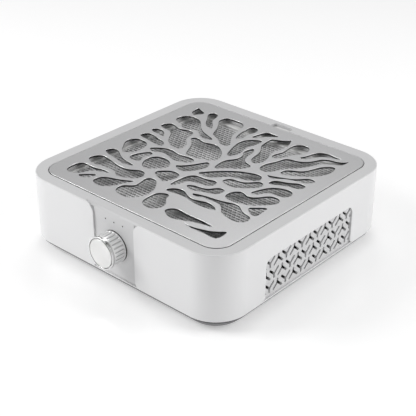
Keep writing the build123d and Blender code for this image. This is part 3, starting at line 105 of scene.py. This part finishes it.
def add_light():
    world = bpy.data.worlds.new("studio")
    world.use_nodes = True
    tree = world.node_tree
    background = tree.nodes["Background"]
    place = tree.nodes.new("ShaderNodeTexCoord")
    split = tree.nodes.new("ShaderNodeSeparateXYZ")
    sky = tree.nodes.new("ShaderNodeValToRGB")
    tree.links.new(place.outputs["Generated"], split.inputs[0])
    tree.links.new(split.outputs["Z"], sky.inputs[0])
    tree.links.new(sky.outputs["Color"], background.inputs["Color"])
    stops = sky.color_ramp.elements
    stops[0].position = 0.0
    stops[0].color = (0.92, 0.92, 0.93, 1)
    stops[1].position = 0.9
    stops[1].color = (0.80, 0.80, 0.80, 1)
    background.inputs["Strength"].default_value = WORLD_STRENGTH
    bpy.context.scene.world = world
    for softbox in SOFTBOXES:
        add_softbox(*softbox)
    bpy.context.scene.view_settings.view_transform = "Standard"


def add_floor():
    corners = [(x * FLOOR_HALF, y * FLOOR_HALF, 0) for x, y in ((-1, -1), (1, -1), (1, 1), (-1, 1))]
    mesh = bpy.data.meshes.new("floor")
    mesh.from_pydata(corners, [], [(0, 1, 2, 3)])
    floor = bpy.data.objects.new("floor", mesh)
    bpy.context.scene.collection.objects.link(floor)
    paint = bpy.data.materials.new("floor_white")
    paint.use_nodes = True
    shader = paint.node_tree.nodes["Principled BSDF"]
    shader.inputs["Base Color"].default_value = (0.90, 0.90, 0.90, 1)
    shader.inputs["Roughness"].default_value = 0.22
    shader.inputs["Specular IOR Level"].default_value = 0.35
    shader.inputs["Emission Color"].default_value = (1, 1, 1, 1)
    shader.inputs["Emission Strength"].default_value = FLOOR_GLOW
    mesh.materials.append(paint)


# ---------------------------------------------------------------- materials
MIX_SHARE, MIX_FIRST, MIX_SECOND, MIX_RESULT = 0, 6, 7, 2  # the sockets of a colour mix
NOISE_LOW, NOISE_HIGH = 0.3, 0.7  # the span that nearly all of a noise texture lies in
BAND_SCALE = 2 * pi / 20  # divided by a pitch, the scale of a wave texture with that pitch


def new_material(name, colour, rough, metal=0.0):
    """A material and its shader, with the values that are the same all over set on the shader."""
    material = bpy.data.materials.new(name)
    material.use_nodes = True
    shader = material.node_tree.nodes["Principled BSDF"]
    shader.inputs["Base Color"].default_value = (*colour, 1)
    shader.inputs["Roughness"].default_value = rough
    shader.inputs["Metallic"].default_value = metal
    material.diffuse_color = (*colour, 1)
    return material, shader


def add_noise(tree, size, detail=2.0):
    """Noise in the object's own space, with blobs of about that size in metres."""
    place = tree.nodes.new("ShaderNodeTexCoord")
    blobs = tree.nodes.new("ShaderNodeTexNoise")
    blobs.inputs["Scale"].default_value = 1 / size
    blobs.inputs["Detail"].default_value = detail
    tree.links.new(place.outputs["Object"], blobs.inputs["Vector"])
    return blobs


def remap(tree, value, low, high, to_low=0.0, to_high=1.0):
    """Takes the span from low to high to another one, and stays at its ends outside."""
    span = tree.nodes.new("ShaderNodeMapRange")
    span.inputs["From Min"].default_value = low
    span.inputs["From Max"].default_value = high
    span.inputs["To Min"].default_value = to_low
    span.inputs["To Max"].default_value = to_high
    tree.links.new(value, span.inputs["Value"])
    return span.outputs["Result"]


def mix_colours(tree, share, first, second_socket):
    """From a plain colour, at share 0, to a colour made by other nodes, at share 1."""
    mix = tree.nodes.new("ShaderNodeMix")
    mix.data_type = "RGBA"
    mix.inputs[MIX_FIRST].default_value = (*first, 1)
    tree.links.new(share, mix.inputs[MIX_SHARE])
    tree.links.new(second_socket, mix.inputs[MIX_SECOND])
    return mix.outputs[MIX_RESULT]


def vary_colour(tree, shader, colour, amount, size, detail=3.0):
    """The base colour wanders by that share of itself, in soft patches."""
    blobs = add_noise(tree, size, detail)
    ramp = tree.nodes.new("ShaderNodeValToRGB")
    ramp.color_ramp.elements[0].position = NOISE_LOW
    ramp.color_ramp.elements[1].position = NOISE_HIGH
    ramp.color_ramp.elements[0].color = (*[c * (1 - amount) for c in colour], 1)
    ramp.color_ramp.elements[1].color = (*[min(1, c * (1 + amount)) for c in colour], 1)
    tree.links.new(blobs.outputs["Fac"], ramp.inputs["Fac"])
    tree.links.new(ramp.outputs["Color"], shader.inputs["Base Color"])


def vary_roughness(tree, shader, rough, amount, size):
    """The roughness wanders by that amount each way, in soft patches."""
    blobs = add_noise(tree, size, 4.0)
    spread = remap(tree, blobs.outputs["Fac"], NOISE_LOW, NOISE_HIGH, rough - amount, rough + amount)
    tree.links.new(spread, shader.inputs["Roughness"])


def add_bump(tree, shader, height, strength, depth):
    bump = tree.nodes.new("ShaderNodeBump")
    bump.inputs["Strength"].default_value = strength
    bump.inputs["Distance"].default_value = depth
    tree.links.new(height, bump.inputs["Height"])
    tree.links.new(bump.outputs["Normal"], shader.inputs["Normal"])


def moulded(name, colour, rough, grain=0.35 * MM, depth=0.02 * MM, mottle=0.015):
    """Moulded plastic: a fine even grain, and faint patches of gloss and tone."""
    material, shader = new_material(name, colour, rough)
    tree = material.node_tree
    vary_colour(tree, shader, colour, mottle, 18 * MM)
    vary_roughness(tree, shader, rough, 0.02, 9 * MM)
    add_bump(tree, shader, add_noise(tree, grain).outputs["Fac"], 0.5, depth)
    return material


def blasted_metal(name, colour, rough, metal=1.0, grain=0.25 * MM, depth=0.015 * MM, mottle=0.03):
    """Bead-blasted or painted metal: a sparkling fine grain."""
    material, shader = new_material(name, colour, rough, metal)
    tree = material.node_tree
    vary_colour(tree, shader, colour, mottle, 0.6 * MM, 5.0)
    vary_roughness(tree, shader, rough, 0.05, 12 * MM)
    add_bump(tree, shader, add_noise(tree, grain).outputs["Fac"], 0.6, depth)
    return material


WALL_SHADE_TOP, WALL_SHADE_FULL = 0.25 * MM, 0.45 * MM  # below the face, where the painted shade on the opening walls starts and where it is full


def sheet_with_painted_wall_shade(name, colour, rough, wall_shade_colour, face_level):
    """Satin sheet whose openings were cut through: below its face the walls of the openings are painted
    near-black, painted shade for their shadowed look.
    """
    material, shader = new_material(name, colour, rough, 1.0)
    tree = material.node_tree
    vary_colour(tree, shader, colour, 0.03, 0.6 * MM, 5.0)
    face = shader.inputs["Base Color"].links[0].from_socket
    place = tree.nodes.new("ShaderNodeTexCoord")
    split = tree.nodes.new("ShaderNodeSeparateXYZ")
    tree.links.new(place.outputs["Object"], split.inputs[0])
    # painted shade: from the face colour to near-black down the walls of the openings
    level = remap(tree, split.outputs["Z"], face_level - WALL_SHADE_FULL, face_level - WALL_SHADE_TOP)
    tree.links.new(mix_colours(tree, level, wall_shade_colour, face), shader.inputs["Base Color"])
    add_bump(tree, shader, add_noise(tree, 0.25 * MM).outputs["Fac"], 0.6, 0.012 * MM)
    return material


RING_PITCH = 0.22 * MM  # of the marks that the lathe leaves
BORDER_BLUR = 0.1 * MM
FACE_BLUR = 0.02 * MM


def turned_metal(name, colour, rough, centre, dark, groove_shade_radius, face, face_y):
    """Metal turned on a lathe about an axis along Y.

    Inside the given radius it is painted darker, painted shade in its grooves; in front of face_y it takes
    a darker face colour, painted shade that tones down the bright reflection of its face.
    """
    material, shader = new_material(name, colour, rough, 1.0)
    tree = material.node_tree
    place = tree.nodes.new("ShaderNodeTexCoord")
    shift = tree.nodes.new("ShaderNodeMapping")
    shift.inputs["Location"].default_value = (-centre[0], 0, -centre[2])
    tree.links.new(place.outputs["Object"], shift.inputs["Vector"])
    rings = tree.nodes.new("ShaderNodeTexWave")
    rings.wave_type = "RINGS"
    rings.rings_direction = "Y"
    rings.inputs["Scale"].default_value = BAND_SCALE / RING_PITCH
    rings.inputs["Distortion"].default_value = 1.5
    rings.inputs["Detail"].default_value = 2.0
    tree.links.new(shift.outputs["Vector"], rings.inputs["Vector"])
    vary_roughness(tree, shader, rough, 0.02, 6 * MM)
    add_bump(tree, shader, rings.outputs["Fac"], 0.4, 0.006 * MM)
    flatten = tree.nodes.new("ShaderNodeVectorMath")
    flatten.operation = "MULTIPLY"
    flatten.inputs[1].default_value = (1, 0, 1)
    tree.links.new(shift.outputs["Vector"], flatten.inputs[0])
    radius = tree.nodes.new("ShaderNodeVectorMath")
    radius.operation = "LENGTH"
    tree.links.new(flatten.outputs["Vector"], radius.inputs[0])
    # painted shade in the grooves: darker inside the radius
    outside = remap(tree, radius.outputs["Value"], groove_shade_radius - BORDER_BLUR, groove_shade_radius + BORDER_BLUR)
    bright = tree.nodes.new("ShaderNodeRGB")
    bright.outputs[0].default_value = (*colour, 1)
    skirt = mix_colours(tree, outside, dark, bright.outputs[0])
    along = tree.nodes.new("ShaderNodeSeparateXYZ")
    tree.links.new(place.outputs["Object"], along.inputs[0])
    # painted shade on the face: its darker colour in front of face_y
    behind = remap(tree, along.outputs["Y"], face_y - FACE_BLUR, face_y + FACE_BLUR)
    tree.links.new(mix_colours(tree, behind, face, skirt), shader.inputs["Base Color"])
    around = tree.nodes.new("ShaderNodeTangent")
    around.direction_type = "RADIAL"
    around.axis = "Y"
    shader.inputs["Anisotropic"].default_value = 0.5
    tree.links.new(around.outputs["Tangent"], shader.inputs["Tangent"])
    return material


def paper_material(name, colour):
    """Filter paper: long faint fibres over a rough felt."""
    material, shader = new_material(name, colour, 0.9)
    tree = material.node_tree
    vary_colour(tree, shader, colour, 0.06, 1.2 * MM, 6.0)
    add_bump(tree, shader, add_noise(tree, 0.5 * MM, 8.0).outputs["Fac"], 0.8, 0.08 * MM)
    return material


def foam_material(name, colour):
    """Closed-cell foam: small round cells."""
    material, shader = new_material(name, colour, 0.95)
    tree = material.node_tree
    place = tree.nodes.new("ShaderNodeTexCoord")
    cells = tree.nodes.new("ShaderNodeTexVoronoi")
    cells.inputs["Scale"].default_value = 1 / (0.7 * MM)
    tree.links.new(place.outputs["Object"], cells.inputs["Vector"])
    vary_colour(tree, shader, colour, 0.2, 3 * MM)
    add_bump(tree, shader, cells.outputs["Distance"], 0.8, 0.2 * MM)
    return material


WIRE_PITCH = 0.5 * MM


def wound_copper(name, colour):
    """Enamelled wire wound in layers, one above the other."""
    material, shader = new_material(name, colour, 0.3, 1.0)
    tree = material.node_tree
    place = tree.nodes.new("ShaderNodeTexCoord")
    turns = tree.nodes.new("ShaderNodeTexWave")
    turns.bands_direction = "Z"
    turns.inputs["Scale"].default_value = BAND_SCALE / WIRE_PITCH
    tree.links.new(place.outputs["Object"], turns.inputs["Vector"])
    vary_colour(tree, shader, colour, 0.1, 1 * MM)
    add_bump(tree, shader, turns.outputs["Fac"], 0.9, 0.15 * MM)
    return material


KNOB_CENTRE = sum(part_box("knob_cap"), Vector()) / 2
GROOVE_SHADE = 15.28 * MM  # inside this radius the knob's grooves are painted darker, as painted shade
GRILLE_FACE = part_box("suction_grille")[1].z
MATERIALS = {
    "shell_white": moulded("shell_white", (0.82, 0.82, 0.825), 0.36, depth=0.006 * MM, mottle=0.004),
    "frame_silver": blasted_metal("frame_silver", (0.67, 0.67, 0.675), 0.5, metal=0.0, mottle=0.015),
    "base_grey": moulded("base_grey", (0.20, 0.20, 0.205), 0.5, grain=0.5 * MM, depth=0.04 * MM),
    # The grille's near-black second colour is painted shade on the walls of its openings.
    "grille_satin": sheet_with_painted_wall_shade("grille_satin", (0.84, 0.84, 0.845), 0.40, (0.06, 0.06, 0.062), GRILLE_FACE),
    # The knob is one turned metal; its face is painted darker than its skirt, painted shade that tones down
    # the face's bright reflection.
    "knob_turned": turned_metal(
        "knob_turned", (0.97, 0.97, 0.965), 0.30, KNOB_CENTRE,
        dark=(0.55, 0.55, 0.55), groove_shade_radius=GROOVE_SHADE,
        face=(0.64, 0.64, 0.635), face_y=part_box("knob_body")[0].y,
    ),
    "knob_polished": blasted_metal(
        "knob_polished", (0.62, 0.62, 0.62), 0.14, depth=0.002 * MM, mottle=0.01,
    ),
    "mark_black": moulded("mark_black", (0.02, 0.02, 0.02), 0.3),
    # The near-black washer behind the knob stands in for the shadow gap round it: painted shade.
    "washer_black": foam_material("washer_black", (0.012, 0.012, 0.012)),
    "filter_white": moulded("filter_white", (0.82, 0.82, 0.81), 0.42),
    "filter_paper": paper_material("filter_paper", (0.80, 0.80, 0.80)),
    "mesh_silver": blasted_metal(
        "mesh_silver", (0.97, 0.97, 0.975), 0.4, metal=0.0, grain=0.8 * MM, mottle=0.04,
    ),
    "foam_black": foam_material("foam_black", (0.02, 0.02, 0.02)),
    "bay_grey": moulded("bay_grey", (0.60, 0.60, 0.60), 0.5),
    "bay_dark": moulded("bay_dark", (0.035, 0.035, 0.037), 0.55),
    "impeller_black": moulded("impeller_black", (0.02, 0.02, 0.022), 0.45),
    "steel": blasted_metal("steel", (0.55, 0.55, 0.56), 0.32),
    "magnet_dark": blasted_metal("magnet_dark", (0.25, 0.25, 0.26), 0.3),
    "lamination": blasted_metal("lamination", (0.16, 0.16, 0.18), 0.45),
    "copper": wound_copper("copper", (0.72, 0.30, 0.12)),
    "board_green": moulded("board_green", (0.015, 0.14, 0.05), 0.25, grain=0.9 * MM),
    "rubber_black": moulded("rubber_black", (0.02, 0.02, 0.02), 0.75, grain=0.6 * MM, depth=0.05 * MM),
    "led_white": moulded("led_white", (0.80, 0.80, 0.74), 0.2),
    "light_smoke": moulded("light_smoke", (0.02, 0.02, 0.022), 0.2),
    "cast_alloy": blasted_metal("cast_alloy", (0.42, 0.42, 0.43), 0.5, grain=0.7 * MM, depth=0.05 * MM),
}
SLOT_OF = {part["node"]: part["material_slot"] for part in frame["record"]["subparts"]}


def paint_cad_nodes():
    for name, node in NODES.items():
        for place in range(len(node.material_slots)):
            node.material_slots[place].material = MATERIALS[SLOT_OF[name]]


def finish_piece(name, mesh, body, node, slot=None):
    """Links a finished mesh as a piece that stands for a CAD node, with that node's material."""
    slot = slot or SLOT_OF[node]
    mesh.materials.clear()
    mesh.materials.append(MATERIALS[slot])
    piece = bpy.data.objects.new(name, mesh)
    bpy.context.scene.collection.objects.link(piece)
    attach(piece, body)
    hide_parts(node)
    return piece


FLAT = 0.99999  # a face whose normal runs this truly along an axis is a flat one


def shade_by_angle(mesh, angle=radians(35)):
    """Smooth shading, with flat faces and every edge sharper than that angle kept crisp."""
    work = bmesh.new()
    work.from_mesh(mesh)
    for face in work.faces:
        face.smooth = max(abs(part) for part in face.normal) < FLAT
    for edge in work.edges:
        edge.smooth = len(edge.link_faces) == 2 and edge.calc_face_angle(0) < angle
    work.to_mesh(mesh)
    work.free()


def clean_copy(node):
    """The CAD node's surface as one closed mesh, without the repeated points along its edges."""
    work = bmesh.new()
    work.from_mesh(NODES[node].data)
    bmesh.ops.remove_doubles(work, verts=work.verts, dist=0.001 * MM)
    return work


# ---------------------------------------------------------------- plates with openings
SAME_LEVEL = 0.002 * MM


def top_face_loops(node):
    """The closed outlines of a node's flat top face, which run so that metal is on their left."""
    work = clean_copy(node)
    level = max(v.co.z for v in work.verts)
    flat = {face for face in work.faces if all(level - v.co.z < SAME_LEVEL for v in face.verts)}
    follow = {}
    for face in flat:
        for loop in face.loops:
            others = [f for f in loop.edge.link_faces if f is not face and f in flat]
            if not others:
                follow[loop.vert.index] = loop.link_loop_next.vert.index
    points = {v.index: v.co.copy() for v in work.verts}
    work.free()
    loops = []
    while follow:
        start, at = follow.popitem()
        loop = [points[start]]
        while at != start:
            loop.append(points[at])
            at = follow.pop(at)
        loops.append(loop)
    return loops


def rounded_plate(loops, normal, thick, edge, steps=3):
    """A plate behind outlines that have metal on their left, with every edge rounded."""
    work = bmesh.new()
    profile = []
    for k in range(steps + 1):
        turn = pi / 2 * k / steps
        profile.append((edge * (1 - sin(turn)), edge * (1 - cos(turn))))
    profile += [(inward, thick - deep) for inward, deep in reversed(profile)]
    rims = ([], [])
    for loop in loops:
        count = len(loop)
        inwards = []
        for k, point in enumerate(loop):
            along = (loop[(k + 1) % count] - point).normalized() + (point - loop[k - 1]).normalized()
            inwards.append(normal.cross(along).normalized())
        rows = []
        for inward, deep in profile:
            rows.append([work.verts.new(p + i * inward - normal * deep) for p, i in zip(loop, inwards)])
        for upper, lower in zip(rows, rows[1:]):
            for k in range(count):
                work.faces.new((upper[k - 1], lower[k - 1], lower[k], upper[k]))
        rims[0].extend(work.edges.get((rows[0][k - 1], rows[0][k])) for k in range(count))
        rims[1].extend(work.edges.get((rows[-1][k - 1], rows[-1][k])) for k in range(count))
    for rim, facing in zip(rims, (normal, -normal)):
        filled = bmesh.ops.triangle_fill(work, use_beauty=True, edges=rim, normal=facing)
        for face in filled["geom"]:
            if isinstance(face, bmesh.types.BMFace) and face.normal.dot(facing) < 0:
                face.normal_flip()
    return work


def save_mesh(work, name):
    mesh = bpy.data.meshes.new(name)
    work.to_mesh(mesh)
    work.free()
    return mesh


GRILLE_EDGE = 0.35 * MM


def add_grille():
    low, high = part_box("suction_grille")
    loops = top_face_loops("suction_grille")
    work = rounded_plate(loops, Vector((0, 0, 1)), high.z - low.z, GRILLE_EDGE)
    mesh = save_mesh(work, "grille_plate")
    shade_by_angle(mesh)
    finish_piece("grille_plate", mesh, "grille", "suction_grille")


# ---------------------------------------------------------------- moulded covers with soft edges
EASED = (  # node, body, radius of its edges, facets across each
    ("outer_shell", "body", 0.45 * MM, 2),
    ("top_frame", "body", 0.3 * MM, 2),
    ("base_tray", "body", 0.4 * MM, 2),
    ("side_vent_left", "body", 0.2 * MM, 1),
    ("side_vent_right", "body", 0.2 * MM, 1),
    ("filter_frame", "filter", 0.4 * MM, 2),
)


def add_eased(node, body, edge, steps):
    """The CAD node's shape with its sharp edges rounded, as moulding leaves them."""
    work = clean_copy(node)
    bmesh.ops.dissolve_limit(work, angle_limit=radians(0.2), verts=work.verts, edges=work.edges)
    name = node + "_eased"
    mesh = save_mesh(work, name)
    piece = finish_piece(name, mesh, body, node)
    bevel = piece.modifiers.new("edges", "BEVEL")
    bevel.width = edge
    bevel.segments = steps
    bevel.limit_method = "ANGLE"
    bevel.angle_limit = radians(40)
    bevel.use_clamp_overlap = True
    bpy.context.view_layer.update()
    shaped = bpy.data.meshes.new_from_object(piece.evaluated_get(bpy.context.evaluated_depsgraph_get()))
    piece.modifiers.remove(bevel)
    piece.data = shaped
    shade_by_angle(shaped)


# ---------------------------------------------------------------- filter
PLEATS = 49
PLEAT_STEPS = 8
PLEAT_STATIONS = 110
PLEAT_WAVER = 5 * MM  # length over which a fold's height changes
CREST_BREADTH = 0.42  # under 1 the folds are broad and the valleys between them narrow
PAPER_MARGIN = 0.3 * MM  # kept free at each end, for the folds to wander in
PAPER_THICK = 0.5 * MM
WANDER = 0.22 * MM
EVEN_DIP, UNEVEN_DIP = 0.3 * MM, 1.5 * MM  # how far a fold lies under the top, and how much that varies


def add_paper():
    """Pleated paper with round folds along X, which wander a little as real pleats do."""
    low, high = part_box("filter_paper")
    rise = high.z - low.z - 2 * PAPER_THICK
    rows = []
    count = PLEATS * PLEAT_STEPS
    for n in range(count + 1):
        share = n / count
        y = low.y + PAPER_MARGIN + share * (high.y - low.y - 2 * PAPER_MARGIN)
        phase = 2 * pi * share * PLEATS
        wave = (1 - cos(phase)) / 2
        wave = wave ** CREST_BREADTH if wave > 0 else 0
        row = []
        for k in range(PLEAT_STATIONS + 1):
            x = low.x + (high.x - low.x) * k / PLEAT_STATIONS
            pleat = n // PLEAT_STEPS
            wander = WANDER * sin(37 * x + 1.7 * pleat) * sin(2.4 * pleat + 61 * x)
            uneven = noise.noise(Vector((x / PLEAT_WAVER, 3.7 * pleat, 0)))
            dip = (EVEN_DIP + UNEVEN_DIP * abs(uneven)) * wave
            row.append(Vector((x, y + wander * sin(pi * share), low.z + PAPER_THICK + rise * wave - dip)))
        rows.append(row)
    work = bmesh.new()
    top = [[work.verts.new(p) for p in row] for row in rows]
    for a, b in zip(top, top[1:]):
        for k in range(PLEAT_STATIONS):
            work.faces.new((a[k], a[k + 1], b[k + 1], b[k]))
    bmesh.ops.solidify(work, geom=work.faces[:], thickness=PAPER_THICK)
    mesh = save_mesh(work, "pleated_paper")
    shade_by_angle(mesh, radians(60))
    finish_piece("pleated_paper", mesh, "filter", "filter_paper")


MESH_PITCH = 2.6 * MM
ZIGZAG = 0.75 * MM  # how far a strand swings to each side of its fold
STRAND_WIDE = 0.74 * MM
STRAND_THICK = 0.22 * MM
LINK_WIDE = 0.34 * MM
TILT_UP, TILT_DOWN = 0.08 * MM, -0.06 * MM  # every other stretch leans the other way


def add_filter_mesh():
    """Along every fold of the paper a zigzag metal strand, with links from one to the next."""
    low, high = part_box("filter_mesh")
    paper_low, paper_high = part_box("filter_paper")
    middle = (low.z + high.z) / 2
    columns = int((high.x - low.x) / (MESH_PITCH / 2))
    row_pitch = (paper_high.y - paper_low.y - 2 * PAPER_MARGIN) / PLEATS
    points = []
    faces = []

    def strand(start, end, wide, tilt):
        across = (end - start).cross(Vector((0, 0, 1))).normalized() * wide / 2
        lean = Vector((0, 0, tilt))
        lift = Vector((0, 0, STRAND_THICK / 2))
        base = len(points)
        for at in (start, end):
            points.extend((at - across - lean - lift, at + across + lean - lift))
            points.extend((at + across + lean + lift, at - across - lean + lift))
        for k in range(4):
            faces.append((base + k, base + (k + 1) % 4, base + 4 + (k + 1) % 4, base + 4 + k))

    for j in range(PLEATS):
        crest = paper_low.y + PAPER_MARGIN + (j + 0.5) * row_pitch
        for i in range(columns):
            swing = ZIGZAG if i % 2 else -ZIGZAG
            start = Vector((low.x + i * MESH_PITCH / 2, crest + swing, middle))
            end = Vector((start.x + MESH_PITCH / 2, crest - swing, middle))
            strand(start, end, STRAND_WIDE, TILT_UP if i % 2 else TILT_DOWN)
            if i % 4 == 1 + 2 * (j % 2) and j < PLEATS - 1:
                strand(start, Vector((start.x, crest + row_pitch - ZIGZAG, middle)), LINK_WIDE, 0.0)
    mesh = bpy.data.meshes.new("expanded_mesh")
    mesh.from_pydata(points, [], faces)
    work = bmesh.new()
    work.from_mesh(mesh)
    bmesh.ops.recalc_face_normals(work, faces=work.faces)
    work.to_mesh(mesh)
    work.free()
    finish_piece("expanded_mesh", mesh, "filter", "filter_mesh")


# ---------------------------------------------------------------- the build
add_camera()
add_light()
add_floor()
paint_cad_nodes()
add_grille()
for cover in EASED:
    add_eased(*cover)
add_paper()
add_filter_mesh()

bpy.context.view_layer.update()
